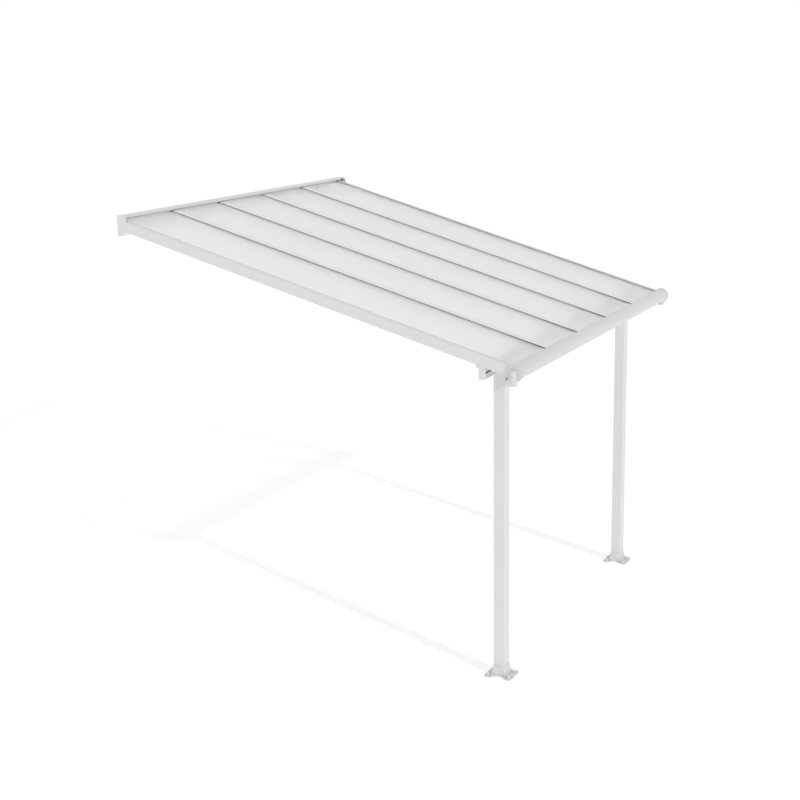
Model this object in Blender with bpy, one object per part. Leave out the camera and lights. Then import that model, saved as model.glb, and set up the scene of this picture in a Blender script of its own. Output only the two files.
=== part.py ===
"""Lean-to awning: a glazed aluminium patio cover that hangs on a wall and stands on two posts.

Frame: metres, +Z up. The origin is the centre of the wall profile's flat back face.
The wall is the plane y = 0 and the roof falls away from it, towards -Y.
"""

import math

import bmesh
import bpy
from mathutils import Vector

# Driving dimensions of the whole cover
BAYS = 5
BAY = 0.600
RAFTER_WIDTH = 0.050
ROOF_SLOPE = math.radians(15.1)
ROOF_DROP = 0.0275
MOUNT_HEIGHT = 2.905
GUTTER_CENTRE_Y = -2.877

# Clearances
TOUCH = 0.0003
PANEL_EXPANSION_GAP = 0.004
PANEL_TOP_GAP = 0.001
CAP_END_GAP = 0.004
CUTTER_OVERSHOOT = 0.006

# Wall profile, ledge and covers; the lip's gap is above the panels' top face
WALL_PROFILE_HEIGHT = 0.141
WALL_FLANGE = 0.010
WALL_LEDGE_FOOT = 0.018
WALL_LEDGE_REACH = 0.0595
WALL_LEDGE_TIP = 0.003
TOP_COVER_DEPTH = 0.026
TOP_COVER_SHEET = 0.003
TOP_COVER_LIP_GAP = 0.0108
WALL_GASKET_TOE = 0.0155
WALL_CAP_DEPTH = 0.070
WALL_CAP_SHEET = 0.005
WALL_CAP_CORNER = 0.022
WALL_CAP_NOSE_RISE = 0.0064

# Roof panels
PANEL_THICKNESS = 0.010
PANEL_OVERHANG = 0.026
END_PROFILE_SHEET = 0.0015
END_PROFILE_DEPTH = 0.022

# Rafters, gaskets and caps; heights are square to the roof, from the panels' top face
RAFTER_DEPTH_BELOW = 0.0643
SPINE_WIDTH = 0.012
GASKET_THICKNESS = 0.003
GASKET_INSET = 0.0015
CAP_WIDTH = 0.060
CAP_HEIGHT = 0.003
CAP_EDGE = 0.0012
SIDE_CAP_WIDTH = 0.038
SIDE_CAP_HEIGHT = 0.0032

# Gutter and its end caps; heights are from the gutter's centre
GUTTER_DROP = 0.0385
GUTTER_RADIUS = 0.051
GUTTER_SHEET = 0.003
GUTTER_LIP_ANGLE = math.radians(98)
GUTTER_LIP_ROLL = 0.0045
GUTTER_LIP_TURN = math.radians(225)
GUTTER_LIP_SEAM = math.radians(11)
GUTTER_BACK_GAP = 0.007
END_DISC_RADIUS = 0.0555
END_DISC_SHIFT = 0.002
END_DISC_SHEET = 0.0127
OUTLET_RADIUS = 0.0235
OUTLET_SHEET = 0.0035
OUTLET_SETBACK = 0.004
OUTLET_RISE = 0.016
OUTLET_FALL = 0.079
OUTLET_CEILING = 0.006
INLET_WIDTH = 0.028
INLET_HEIGHT = 0.024
INLET_SILL = 0.009

# Support beam, its caps and the saddles on it; setbacks are from the gutter's centre
BEAM_SETBACK = 0.2225
BEAM_DEPTH = 0.042
BEAM_HEIGHT = 0.073
BEAM_CORNER = 0.008
BEAM_GROOVE_DEPTH = 0.004
BEAM_GROOVE_HEIGHT = 0.010
BEAM_GROOVE_DROP = 0.026
BEAM_CAP_SHEET = 0.010
SADDLE_HEIGHT = 0.009
SADDLE_OVERHANG = 0.017

# Posts and feet
POST_SIDE = 0.080
POST_CORNER = 0.006
POST_INSET = 0.2855
POST_SETBACK = 0.220
FOOT_LENGTH = 0.158
FOOT_DEPTH = 0.191
FOOT_PLATE = 0.009
FOOT_CORNER = 0.018
FOOT_EAR = 0.045
FOOT_WAIST_EDGE = 0.0015
SOCKET_SHEET = 0.0035
SOCKET_FLARE = 0.011
SOCKET_HEIGHT = 0.078
RIB_THICKNESS = 0.006
RIB_OUTSET = 0.005
RIB_HEIGHT = 0.045
RIB_REACH = 0.022
RIB_TOE = 0.014
BOSS_RADIUS = 0.016
BOSS_HEIGHT = 0.015
BOSS_INSET = 0.023
BOLT_HOLE_RADIUS = 0.006

# Fineness of round shapes
ARC_STEP = math.radians(9)
LIP_STEP = math.radians(28)
ROUND_SEGMENTS = 40

# Values worked out from the ones above
HALF_SPAN = BAY * BAYS / 2
HALF_WIDTH = HALF_SPAN + RAFTER_WIDTH / 2
GROUND_Z = -MOUNT_HEIGHT
WALL_TOP_Z = WALL_PROFILE_HEIGHT / 2
WALL_BOTTOM_Z = -WALL_PROFILE_HEIGHT / 2
ROOF_START_Z = WALL_TOP_Z - ROOF_DROP
PANEL_TOP_END_Y = -WALL_FLANGE - PANEL_TOP_GAP - PANEL_THICKNESS * math.sin(ROOF_SLOPE)
CAP_TOP_END_Y = -TOP_COVER_DEPTH - CAP_END_GAP
GUTTER_BACK_Y = GUTTER_CENTRE_Y + GUTTER_RADIUS
RAFTER_END_Y = GUTTER_BACK_Y + TOUCH
PANEL_END_Y = GUTTER_BACK_Y - PANEL_OVERHANG
RAFTER_TOP = -PANEL_THICKNESS - TOUCH
OUTLET_X = OUTLET_RADIUS + 2 * TOUCH
OUTLET_Y = GUTTER_CENTRE_Y + OUTLET_SETBACK
BEAM_CENTRE_Y = GUTTER_CENTRE_Y + BEAM_SETBACK
POST_X = HALF_SPAN - POST_INSET
POST_Y = GUTTER_CENTRE_Y + POST_SETBACK
SOCKET_SIDE = POST_SIDE + 2 * (TOUCH + SOCKET_SHEET)


def roof_z(y, height=0.0):
    """World height of a line parallel to the roof, a square distance from the panels' top face."""
    return ROOF_START_Z + y * math.tan(ROOF_SLOPE) + height / math.cos(ROOF_SLOPE)


# Heights of what hangs from the roof or stands under it
TOP_COVER_LIP_Z = roof_z(TOP_COVER_SHEET - TOP_COVER_DEPTH) + TOP_COVER_LIP_GAP
GUTTER_CENTRE_Z = roof_z(GUTTER_BACK_Y) - GUTTER_DROP
GUTTER_BACK_TOP_Z = roof_z(GUTTER_BACK_Y, -PANEL_THICKNESS) - GUTTER_BACK_GAP
BEAM_TOP_Z = roof_z(BEAM_CENTRE_Y, -RAFTER_DEPTH_BELOW) - SADDLE_HEIGHT
BEAM_BOTTOM_Z = BEAM_TOP_Z - BEAM_HEIGHT

COLOURS = {
    "powder_coat": ((0.80, 0.80, 0.80, 1.0), 0.42, 0.0),
    "moulding": ((0.74, 0.74, 0.74, 1.0), 0.50, 0.0),
    "rubber": ((0.06, 0.06, 0.06, 1.0), 0.85, 0.0),
    "panel": ((0.88, 0.89, 0.90, 1.0), 0.25, 0.0),
}


def clear_scene():
    for obj in list(bpy.data.objects):
        bpy.data.objects.remove(obj, do_unlink=True)


def finish_material(name, finish):
    """A material of its own for each sub-part, in one of the cover's finishes."""
    colour, roughness, metallic = COLOURS[finish]
    material = bpy.data.materials.new(name + "_finish")
    material.use_nodes = True
    shader = material.node_tree.nodes["Principled BSDF"]
    shader.inputs["Base Color"].default_value = colour
    shader.inputs["Roughness"].default_value = roughness
    shader.inputs["Metallic"].default_value = metallic
    return material


def roof_y(world_y, height):
    """Roof-frame y of the point at a square height that has the given world y."""
    return (world_y + height * math.sin(ROOF_SLOPE)) / math.cos(ROOF_SLOPE)


def arc(centre, radius, start, end, step=ARC_STEP):
    """Points along an arc, both ends included."""
    steps = max(2, round(abs(end - start) / step))
    angles = [start + (end - start) * i / steps for i in range(steps + 1)]
    return [(centre[0] + radius * math.cos(a), centre[1] + radius * math.sin(a)) for a in angles]


def loft(lower, upper):
    """A closed solid between two matching loops of 3-D points."""
    mesh = bmesh.new()
    first = [mesh.verts.new(point) for point in lower]
    second = [mesh.verts.new(point) for point in upper]
    count = len(first)
    mesh.faces.new(first)
    mesh.faces.new(second)
    for i in range(count):
        j = (i + 1) % count
        mesh.faces.new((first[i], first[j], second[j], second[i]))
    bmesh.ops.recalc_face_normals(mesh, faces=mesh.faces)
    return mesh


def prism_x(outline, x_start, x_end):
    """A (y, z) outline drawn out along X."""
    return loft([(x_start, y, z) for y, z in outline], [(x_end, y, z) for y, z in outline])


def prism_z(outline, z_start, z_end):
    """An (x, y) outline drawn out along Z."""
    return loft([(x, y, z_start) for x, y in outline], [(x, y, z_end) for x, y in outline])


def roof_bar(section, back_y, front_y, upright_ends):
    """An (x, height) section drawn out down the slope, in the roof's own frame."""
    if upright_ends:
        back = [(x, roof_y(back_y, h), h) for x, h in section]
        front = [(x, roof_y(front_y, h), h) for x, h in section]
    else:
        back = [(x, roof_y(back_y, 0.0), h) for x, h in section]
        front = [(x, roof_y(front_y, 0.0), h) for x, h in section]
    return loft(back, front)


def add_object(name, mesh, finish, parent=None, x=0.0):
    """Turn a bmesh into a named object with its own material."""
    data = bpy.data.meshes.new(name)
    mesh.to_mesh(data)
    mesh.free()
    data.materials.append(finish_material(name, finish))
    data.shade_smooth()
    data.set_sharp_from_angle(angle=math.radians(30))
    obj = bpy.data.objects.new(name, data)
    bpy.context.scene.collection.objects.link(obj)
    obj.location.x = x
    obj.parent = parent
    return obj


def add_cutter(target, mesh, operation):
    """Cut a shape from a piece, or fuse one to it."""
    data = bpy.data.meshes.new(target.name + "_tool")
    mesh.to_mesh(data)
    mesh.free()
    tool = bpy.data.objects.new(target.name + "_tool", data)
    bpy.context.scene.collection.objects.link(tool)
    tool.location = target.location
    tool.hide_render = True
    tool.display_type = "WIRE"
    modifier = target.modifiers.new("shape", "BOOLEAN")
    modifier.operation = operation
    modifier.object = tool
    return tool


def upright_cylinder(radius, z_start, z_end):
    turn = 2 * math.pi / ROUND_SEGMENTS
    circle = [(radius * math.cos(i * turn), radius * math.sin(i * turn)) for i in range(ROUND_SEGMENTS)]
    return prism_z(circle, z_start, z_end)


def box(x_range, y_range, z_range):
    back, front = y_range
    low, high = z_range
    return prism_x([(back, low), (front, low), (front, high), (back, high)], *x_range)


def make_wall_profile():
    """The flange that lies flat on the wall."""
    flange = box((-HALF_WIDTH, HALF_WIDTH), (-WALL_FLANGE, 0.0), (WALL_BOTTOM_Z, WALL_TOP_Z))
    return add_object("wall_profile", flange, "powder_coat")


def make_wall_ledge():
    """The wedge-shaped ledge on the flange that the rafters rest on."""
    back = -WALL_FLANGE - TOUCH
    top_back = roof_z(back, -RAFTER_DEPTH_BELOW) - TOUCH
    top_front = roof_z(-WALL_LEDGE_REACH, -RAFTER_DEPTH_BELOW) - TOUCH
    outline = [
        (back, WALL_BOTTOM_Z),
        (-WALL_LEDGE_FOOT, WALL_BOTTOM_Z),
        (-WALL_LEDGE_REACH, top_front - WALL_LEDGE_TIP),
        (-WALL_LEDGE_REACH, top_front),
        (back, top_back),
    ]
    return add_object("wall_ledge", prism_x(outline, -HALF_WIDTH, HALF_WIDTH), "powder_coat")


def make_wall_top_cover():
    """The bent cover that clips to the flange and reaches over the panels' top ends."""
    back = -WALL_FLANGE - TOUCH
    front = -TOP_COVER_DEPTH
    bend = (TOP_COVER_DEPTH - WALL_FLANGE) / 2
    outline = [
        (back, WALL_TOP_Z),
        (front + bend, WALL_TOP_Z),
        (front, WALL_TOP_Z - bend),
        (front, TOP_COVER_LIP_Z),
        (front + TOP_COVER_SHEET, TOP_COVER_LIP_Z),
        (front + TOP_COVER_SHEET, WALL_TOP_Z - bend - TOP_COVER_SHEET / 2),
        (back, WALL_TOP_Z - bend - TOP_COVER_SHEET / 2),
    ]
    return add_object("wall_top_cover", prism_x(outline, -HALF_WIDTH, HALF_WIDTH), "powder_coat")


def make_wall_gasket():
    """The rubber seal between the top cover's lip and the panels."""
    back = -WALL_FLANGE - TOUCH
    front = -TOP_COVER_DEPTH + TOP_COVER_SHEET + TOUCH
    top = TOP_COVER_LIP_Z - TOUCH
    outline = [
        (back, roof_z(back) + TOUCH),
        (-WALL_GASKET_TOE, roof_z(-WALL_GASKET_TOE) + TOUCH),
        (front, top),
        (back, top),
    ]
    half = HALF_WIDTH - SPINE_WIDTH - TOUCH
    return add_object("wall_gasket", prism_x(outline, -half, half), "rubber")


def make_wall_end_cap(name, side):
    """The moulded plate that closes one end of the wall profile."""
    corner = (-WALL_CAP_DEPTH + WALL_CAP_CORNER, WALL_TOP_Z - WALL_CAP_CORNER)
    nose = roof_z(-WALL_CAP_DEPTH, -RAFTER_DEPTH_BELOW) + WALL_CAP_NOSE_RISE
    outline = [
        (0.0, WALL_BOTTOM_Z),
        (-WALL_LEDGE_FOOT, WALL_BOTTOM_Z),
        (-WALL_CAP_DEPTH, nose),
    ]
    outline += arc(corner, WALL_CAP_CORNER, math.pi, math.pi / 2)
    outline.append((0.0, WALL_TOP_Z))
    inner = side * (HALF_WIDTH + TOUCH)
    outer = side * (HALF_WIDTH + WALL_CAP_SHEET)
    return add_object(name, prism_x(outline, inner, outer), "moulding")


def make_rafter(name, x, roof):
    """An inner rafter: a box beam with the spine that parts two panels."""
    half = RAFTER_WIDTH / 2
    spine = SPINE_WIDTH / 2
    section = [
        (-half, -RAFTER_DEPTH_BELOW),
        (half, -RAFTER_DEPTH_BELOW),
        (half, RAFTER_TOP),
        (spine, RAFTER_TOP),
        (spine, -TOUCH),
        (-spine, -TOUCH),
        (-spine, RAFTER_TOP),
        (-half, RAFTER_TOP),
    ]
    bar = roof_bar(section, -WALL_FLANGE - TOUCH, RAFTER_END_Y, True)
    return add_object(name, bar, "powder_coat", roof, x)


def make_side_rafter(name, side, roof):
    """A side rafter: a box beam whose outer web rises past the panel's edge to the cap."""
    half = side * RAFTER_WIDTH / 2
    web = half - side * SPINE_WIDTH
    section = [
        (-half, -RAFTER_DEPTH_BELOW),
        (half, -RAFTER_DEPTH_BELOW),
        (half, GASKET_THICKNESS),
        (web, GASKET_THICKNESS),
        (web, RAFTER_TOP),
        (-half, RAFTER_TOP),
    ]
    bar = roof_bar(section, -WALL_FLANGE - TOUCH, RAFTER_END_Y, True)
    return add_object(name, bar, "powder_coat", roof, side * HALF_SPAN)


def make_gasket(name, x, roof):
    """The rubber strip that bears on the panels either side of an inner rafter."""
    half = CAP_WIDTH / 2 - GASKET_INSET
    section = [(-half, TOUCH), (half, TOUCH), (half, GASKET_THICKNESS), (-half, GASKET_THICKNESS)]
    bar = roof_bar(section, CAP_TOP_END_Y, PANEL_END_Y, False)
    return add_object(name, bar, "rubber", roof, x)


def make_side_gasket(name, side, roof):
    """The rubber strip between a side rafter's web and its cap's inner edge."""
    web = side * (RAFTER_WIDTH / 2 - SPINE_WIDTH - TOUCH)
    inner = side * (RAFTER_WIDTH / 2 - SIDE_CAP_WIDTH + GASKET_INSET)
    section = [(web, TOUCH), (inner, TOUCH), (inner, GASKET_THICKNESS), (web, GASKET_THICKNESS)]
    bar = roof_bar(section, CAP_TOP_END_Y, PANEL_END_Y, False)
    return add_object(name, bar, "rubber", roof, side * HALF_SPAN)


def make_cap(name, x, roof):
    """The snap-on cap over an inner rafter, with eased long edges."""
    half = CAP_WIDTH / 2
    bottom = GASKET_THICKNESS + TOUCH
    top = bottom + CAP_HEIGHT
    section = [
        (-half, bottom),
        (half, bottom),
        (half, top - CAP_EDGE),
        (half - CAP_EDGE, top),
        (-half + CAP_EDGE, top),
        (-half, top - CAP_EDGE),
    ]
    bar = roof_bar(section, CAP_TOP_END_Y, PANEL_END_Y, False)
    return add_object(name, bar, "powder_coat", roof, x)


def make_side_cap(name, side, roof):
    """The cap over a side rafter, flush with its outer face, on the web and the gasket."""
    outer = side * RAFTER_WIDTH / 2
    inner = outer - side * SIDE_CAP_WIDTH
    bottom = GASKET_THICKNESS + TOUCH
    top = bottom + SIDE_CAP_HEIGHT
    section = [
        (outer, bottom),
        (outer, top - CAP_EDGE),
        (outer - side * CAP_EDGE, top),
        (inner + side * CAP_EDGE, top),
        (inner, top - CAP_EDGE),
        (inner, bottom),
    ]
    bar = roof_bar(section, CAP_TOP_END_Y, PANEL_END_Y, False)
    return add_object(name, bar, "powder_coat", roof, side * HALF_SPAN)


def bay_edges(index):
    """The x of both long edges of a bay's panel."""
    left = -HALF_SPAN + index * BAY
    right = left + BAY
    inner_gap = SPINE_WIDTH / 2 + PANEL_EXPANSION_GAP
    side_gap = -RAFTER_WIDTH / 2 + SPINE_WIDTH + PANEL_EXPANSION_GAP
    left += side_gap if index == 0 else inner_gap
    right -= side_gap if index == BAYS - 1 else inner_gap
    return left, right


def make_panel(name, index, roof):
    left, right = bay_edges(index)
    section = [(left, -PANEL_THICKNESS), (right, -PANEL_THICKNESS), (right, 0.0), (left, 0.0)]
    sheet = END_PROFILE_SHEET + TOUCH
    bar = roof_bar(section, PANEL_TOP_END_Y, PANEL_END_Y + sheet, False)
    return add_object(name, bar, "panel", roof)


def make_end_profile(name, index, roof):
    """The channel that closes a panel's lower end, below the caps on either side."""
    left, right = bay_edges(index)
    left += CAP_WIDTH / 2
    right -= CAP_WIDTH / 2
    front = roof_y(PANEL_END_Y, 0.0)
    back = front + END_PROFILE_DEPTH
    inside = front + END_PROFILE_SHEET
    top = TOUCH
    bottom = -PANEL_THICKNESS - TOUCH
    outline = [
        (back, bottom),
        (back, bottom - END_PROFILE_SHEET),
        (front, bottom - END_PROFILE_SHEET),
        (front, top + END_PROFILE_SHEET),
        (back, top + END_PROFILE_SHEET),
        (back, top),
        (inside, top),
        (inside, bottom),
    ]
    return add_object(name, prism_x(outline, left, right), "powder_coat", roof)


def gutter_point(radius, angle):
    """A point about the gutter's centre; the angle runs from the front, up and over."""
    y = GUTTER_CENTRE_Y - radius * math.cos(angle)
    z = GUTTER_CENTRE_Z + radius * math.sin(angle)
    return y, z


def gutter_arc(radius, start, end):
    steps = round(abs(end - start) / ARC_STEP)
    return [gutter_point(radius, start + (end - start) * i / steps) for i in range(steps + 1)]


def make_gutter():
    """The round-fronted trough: a rolled lip, a round front and bottom, and a flat back."""
    inner_radius = GUTTER_RADIUS - GUTTER_SHEET
    lip_centre = gutter_point(GUTTER_RADIUS - GUTTER_LIP_ROLL, GUTTER_LIP_ANGLE)
    lip_end = math.pi / 2 - GUTTER_LIP_TURN
    lip = arc(lip_centre, GUTTER_LIP_ROLL, math.pi / 2, lip_end, LIP_STEP)[1:-1]
    outer = gutter_arc(GUTTER_RADIUS, -math.pi, GUTTER_LIP_ANGLE)
    inner = gutter_arc(inner_radius, GUTTER_LIP_ANGLE - GUTTER_LIP_SEAM, -math.pi)
    outline = [(GUTTER_BACK_Y, GUTTER_BACK_TOP_Z)] + outer + lip + inner
    outline.append((GUTTER_BACK_Y - GUTTER_SHEET, GUTTER_BACK_TOP_Z))
    return add_object("gutter", prism_x(outline, -HALF_WIDTH, HALF_WIDTH), "powder_coat")


def make_gutter_end_cap(name, side):
    """A round stop end with the outlet that a downpipe pushes onto."""
    centre = (GUTTER_CENTRE_Y - END_DISC_SHIFT, GUTTER_CENTRE_Z - END_DISC_SHIFT)
    disc = arc(centre, END_DISC_RADIUS, 0.0, 2 * math.pi)[:-1]
    inner = side * TOUCH
    outer = side * (END_DISC_SHEET + TOUCH)
    cap = add_object(name, prism_x(disc, inner, outer), "moulding", None, side * HALF_WIDTH)

    axis = Vector((side * OUTLET_X, OUTLET_Y, GUTTER_CENTRE_Z))
    outlet = upright_cylinder(OUTLET_RADIUS, -OUTLET_FALL, OUTLET_RISE)
    bmesh.ops.translate(outlet, verts=outlet.verts, vec=axis)
    add_cutter(cap, outlet, "UNION")

    bore_radius = OUTLET_RADIUS - OUTLET_SHEET
    bore = upright_cylinder(bore_radius, -OUTLET_FALL - CUTTER_OVERSHOOT, OUTLET_RISE - OUTLET_CEILING)
    bmesh.ops.translate(bore, verts=bore.verts, vec=axis)
    add_cutter(cap, bore, "DIFFERENCE")

    floor = GUTTER_CENTRE_Z - GUTTER_RADIUS + INLET_SILL
    inlet_x = (-side * CUTTER_OVERSHOOT, side * OUTLET_X)
    inlet_y = (OUTLET_Y - INLET_WIDTH / 2, OUTLET_Y + INLET_WIDTH / 2)
    inlet = box(inlet_x, inlet_y, (floor, floor + INLET_HEIGHT))
    add_cutter(cap, inlet, "DIFFERENCE")
    return cap


def beam_outline(grooved):
    """The beam's (y, z) section, with eased lower corners and a groove along the front."""
    back = BEAM_CENTRE_Y + BEAM_DEPTH / 2
    front = BEAM_CENTRE_Y - BEAM_DEPTH / 2
    low = BEAM_BOTTOM_Z + BEAM_CORNER
    outline = [(back, BEAM_TOP_Z)]
    outline += arc((back - BEAM_CORNER, low), BEAM_CORNER, 0.0, -math.pi / 2)
    outline += arc((front + BEAM_CORNER, low), BEAM_CORNER, -math.pi / 2, -math.pi)
    if grooved:
        groove_top = BEAM_TOP_Z - BEAM_GROOVE_DROP
        groove_bottom = groove_top - BEAM_GROOVE_HEIGHT
        outline += [
            (front, groove_bottom),
            (front + BEAM_GROOVE_DEPTH, groove_bottom),
            (front + BEAM_GROOVE_DEPTH, groove_top),
            (front, groove_top),
        ]
    outline.append((front, BEAM_TOP_Z))
    return outline


def make_beam():
    half = HALF_WIDTH - BEAM_CAP_SHEET - TOUCH
    return add_object("support_beam", prism_x(beam_outline(True), -half, half), "powder_coat")


def make_beam_end_cap(name, side):
    inner = side * (HALF_WIDTH - BEAM_CAP_SHEET)
    return add_object(name, prism_x(beam_outline(False), inner, side * HALF_WIDTH), "moulding")


def make_saddle(name, x):
    """The wedge bracket that seats a sloping rafter on the level beam."""
    back = BEAM_CENTRE_Y + BEAM_DEPTH / 2 + SADDLE_OVERHANG
    front = BEAM_CENTRE_Y - BEAM_DEPTH / 2
    outline = [
        (back, BEAM_TOP_Z + TOUCH),
        (back, roof_z(back, -RAFTER_DEPTH_BELOW) - TOUCH),
        (front, roof_z(front, -RAFTER_DEPTH_BELOW) - TOUCH),
        (front, BEAM_TOP_Z + TOUCH),
    ]
    half = RAFTER_WIDTH / 2
    return add_object(name, prism_x(outline, -half, half), "moulding", None, x)


def rounded_rectangle(length, depth, corner):
    """An (x, y) outline with round corners."""
    half_x = length / 2 - corner
    half_y = depth / 2 - corner
    outline = []
    for i, (sx, sy) in enumerate(((1, 1), (-1, 1), (-1, -1), (1, -1))):
        start = i * math.pi / 2
        outline += arc((sx * half_x, sy * half_y), corner, start, start + math.pi / 2)
    return outline


def make_post(name, side):
    outline = rounded_rectangle(POST_SIDE, POST_SIDE, POST_CORNER)
    mesh = prism_z(outline, GROUND_Z + FOOT_PLATE + TOUCH, BEAM_BOTTOM_Z - TOUCH)
    bmesh.ops.translate(mesh, verts=mesh.verts, vec=Vector((0.0, POST_Y, 0.0)))
    return add_object(name, mesh, "powder_coat", None, side * POST_X)


def foot_outline():
    """A plate with round corners and a deep hollow in both of its sides along Y."""
    half_x = FOOT_LENGTH / 2
    half_y = FOOT_DEPTH / 2
    waist = SOCKET_SIDE / 2 + FOOT_WAIST_EDGE
    hollow = half_y - FOOT_EAR
    depth = half_x - waist
    radius = (hollow * hollow + depth * depth) / (2 * depth)
    sweep = math.asin(hollow / radius)
    half = arc((waist + radius, 0.0), radius, math.pi + sweep, math.pi - sweep)
    half += arc((half_x - FOOT_CORNER, half_y - FOOT_CORNER), FOOT_CORNER, 0.0, math.pi / 2)
    half += arc((FOOT_CORNER - half_x, half_y - FOOT_CORNER), FOOT_CORNER, math.pi / 2, math.pi)
    return half + [(-x, -y) for x, y in half]


def make_socket():
    """The sleeve around the post; its front and back spread towards the ground."""
    corner = POST_CORNER + SOCKET_SHEET
    lower = rounded_rectangle(SOCKET_SIDE, SOCKET_SIDE + 2 * SOCKET_FLARE, corner)
    upper = rounded_rectangle(SOCKET_SIDE, SOCKET_SIDE, corner)
    return loft([(x, y, 0.0) for x, y in lower], [(x, y, SOCKET_HEIGHT) for x, y in upper])


def make_rib(sx, sy):
    """A triangular rib from one side of the socket down to an ear of the plate."""
    wall = SOCKET_SIDE / 2
    middle = POST_SIDE / 2 + RIB_OUTSET
    near = sy * (middle - RIB_THICKNESS / 2)
    far = sy * (middle + RIB_THICKNESS / 2)
    outline = [
        (sx * (wall - SOCKET_SHEET), 0.0),
        (sx * (wall + RIB_REACH), 0.0),
        (sx * (wall + RIB_REACH), RIB_TOE),
        (sx * wall, RIB_HEIGHT),
        (sx * (wall - SOCKET_SHEET), RIB_HEIGHT),
    ]
    return loft([(x, near, z) for x, z in outline], [(x, far, z) for x, z in outline])


def make_foot(name, side):
    """A floor plate with a socket for the post, and a rib and a bolt boss on each ear."""
    foot = add_object(name, prism_z(foot_outline(), 0.0, FOOT_PLATE), "moulding", None, side * POST_X)
    foot.location.y = POST_Y
    foot.location.z = GROUND_Z
    add_cutter(foot, make_socket(), "UNION")

    boss_x = FOOT_LENGTH / 2 - BOSS_INSET
    boss_y = FOOT_DEPTH / 2 - BOSS_INSET
    holes = []
    for sx in (-1, 1):
        for sy in (-1, 1):
            spot = Vector((sx * boss_x, sy * boss_y, 0.0))
            boss = upright_cylinder(BOSS_RADIUS, 0.0, BOSS_HEIGHT)
            bmesh.ops.translate(boss, verts=boss.verts, vec=spot)
            add_cutter(foot, make_rib(sx, sy), "UNION")
            add_cutter(foot, boss, "UNION")
            hole = upright_cylinder(BOLT_HOLE_RADIUS, -CUTTER_OVERSHOOT, BOSS_HEIGHT + CUTTER_OVERSHOOT)
            bmesh.ops.translate(hole, verts=hole.verts, vec=spot)
            holes.append(hole)
    for hole in holes:
        add_cutter(foot, hole, "DIFFERENCE")

    seat = rounded_rectangle(POST_SIDE + 2 * TOUCH, POST_SIDE + 2 * TOUCH, POST_CORNER)
    add_cutter(foot, prism_z(seat, FOOT_PLATE, SOCKET_HEIGHT + CUTTER_OVERSHOOT), "DIFFERENCE")
    return foot


def make_roof_frame():
    """The empty that carries everything laid on the slope."""
    roof = bpy.data.objects.new("roof_frame", None)
    bpy.context.scene.collection.objects.link(roof)
    roof.location.z = ROOF_START_Z
    roof.rotation_euler.x = ROOF_SLOPE
    return roof


def build():
    clear_scene()
    roof = make_roof_frame()

    make_wall_profile()
    make_wall_ledge()
    make_wall_top_cover()
    make_wall_gasket()
    make_gutter()
    make_beam()

    for side, word in ((-1, "left"), (1, "right")):
        make_wall_end_cap("wall_end_cap_" + word, side)
        make_side_rafter("side_rafter_" + word, side, roof)
        make_side_gasket("side_gasket_" + word, side, roof)
        make_side_cap("side_cap_" + word, side, roof)
        make_gutter_end_cap("gutter_end_cap_" + word, side)
        make_beam_end_cap("beam_end_cap_" + word, side)
        make_saddle("rafter_saddle_" + word, side * HALF_SPAN)
        make_post("post_" + word, side)
        make_foot("post_foot_" + word, side)

    for index in range(BAYS):
        make_panel("roof_panel_%d" % (index + 1), index, roof)
        make_end_profile("panel_end_profile_%d" % (index + 1), index, roof)

    for number in range(1, BAYS):
        x = -HALF_SPAN + number * BAY
        make_rafter("rafter_%d" % number, x, roof)
        make_gasket("rafter_gasket_%d" % number, x, roof)
        make_cap("rafter_cap_%d" % number, x, roof)
        make_saddle("rafter_saddle_%d" % number, x)


build()
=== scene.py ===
import math

import bmesh
import bpy
from mathutils import Matrix, Vector


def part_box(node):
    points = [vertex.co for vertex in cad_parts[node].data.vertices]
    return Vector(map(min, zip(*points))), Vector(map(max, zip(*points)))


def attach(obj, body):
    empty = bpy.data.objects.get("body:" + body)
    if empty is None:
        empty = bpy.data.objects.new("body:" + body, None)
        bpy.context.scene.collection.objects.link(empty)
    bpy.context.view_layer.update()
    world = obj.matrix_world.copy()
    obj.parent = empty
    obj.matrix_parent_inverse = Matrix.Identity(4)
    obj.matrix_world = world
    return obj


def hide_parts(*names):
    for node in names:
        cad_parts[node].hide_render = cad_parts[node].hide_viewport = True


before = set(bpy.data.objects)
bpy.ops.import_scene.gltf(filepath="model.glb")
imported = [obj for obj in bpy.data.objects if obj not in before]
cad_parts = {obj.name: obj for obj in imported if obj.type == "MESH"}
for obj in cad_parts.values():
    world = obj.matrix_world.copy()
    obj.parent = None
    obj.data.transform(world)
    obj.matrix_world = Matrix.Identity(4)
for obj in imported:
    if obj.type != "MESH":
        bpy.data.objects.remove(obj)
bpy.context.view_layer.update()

# Sizes shared with the frame, in metres
GROUND_Z = -2.905
HALF_WIDTH = 1.525
ROOF_START_Z = 0.043
ROOF_SLOPE = math.radians(15.1)
ROOF_NORMAL = Vector((0.0, -math.sin(ROOF_SLOPE), math.cos(ROOF_SLOPE)))
RAFTERS = (-1.5, -0.9, -0.3, 0.3, 0.9, 1.5)
SADDLES = (
    "rafter_saddle_left",
    "rafter_saddle_1",
    "rafter_saddle_2",
    "rafter_saddle_3",
    "rafter_saddle_4",
    "rafter_saddle_right",
)
PANEL_EDGES = (
    (-1.509, -0.910),
    (-0.890, -0.310),
    (-0.290, 0.290),
    (0.310, 0.890),
    (0.910, 1.509),
)
PANEL_THICKNESS = 0.010
PANEL_BACK_Y = -0.0136
PANEL_FRONT_Y = -2.8502
INNER_CAP_TOP = 0.0063
SIDE_CAP_TOP = 0.0065
POST_X = 1.2145
POST_Y = -2.657
POST_HALF = 0.040
GUTTER_Y = -2.877
GUTTER_Z = -0.758
GUTTER_RADIUS = 0.051
END_DISC = 0.0127
END_DISC_DROP = 0.002
LIP_Y = -2.8705
LIP_Z = -0.7119

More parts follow.
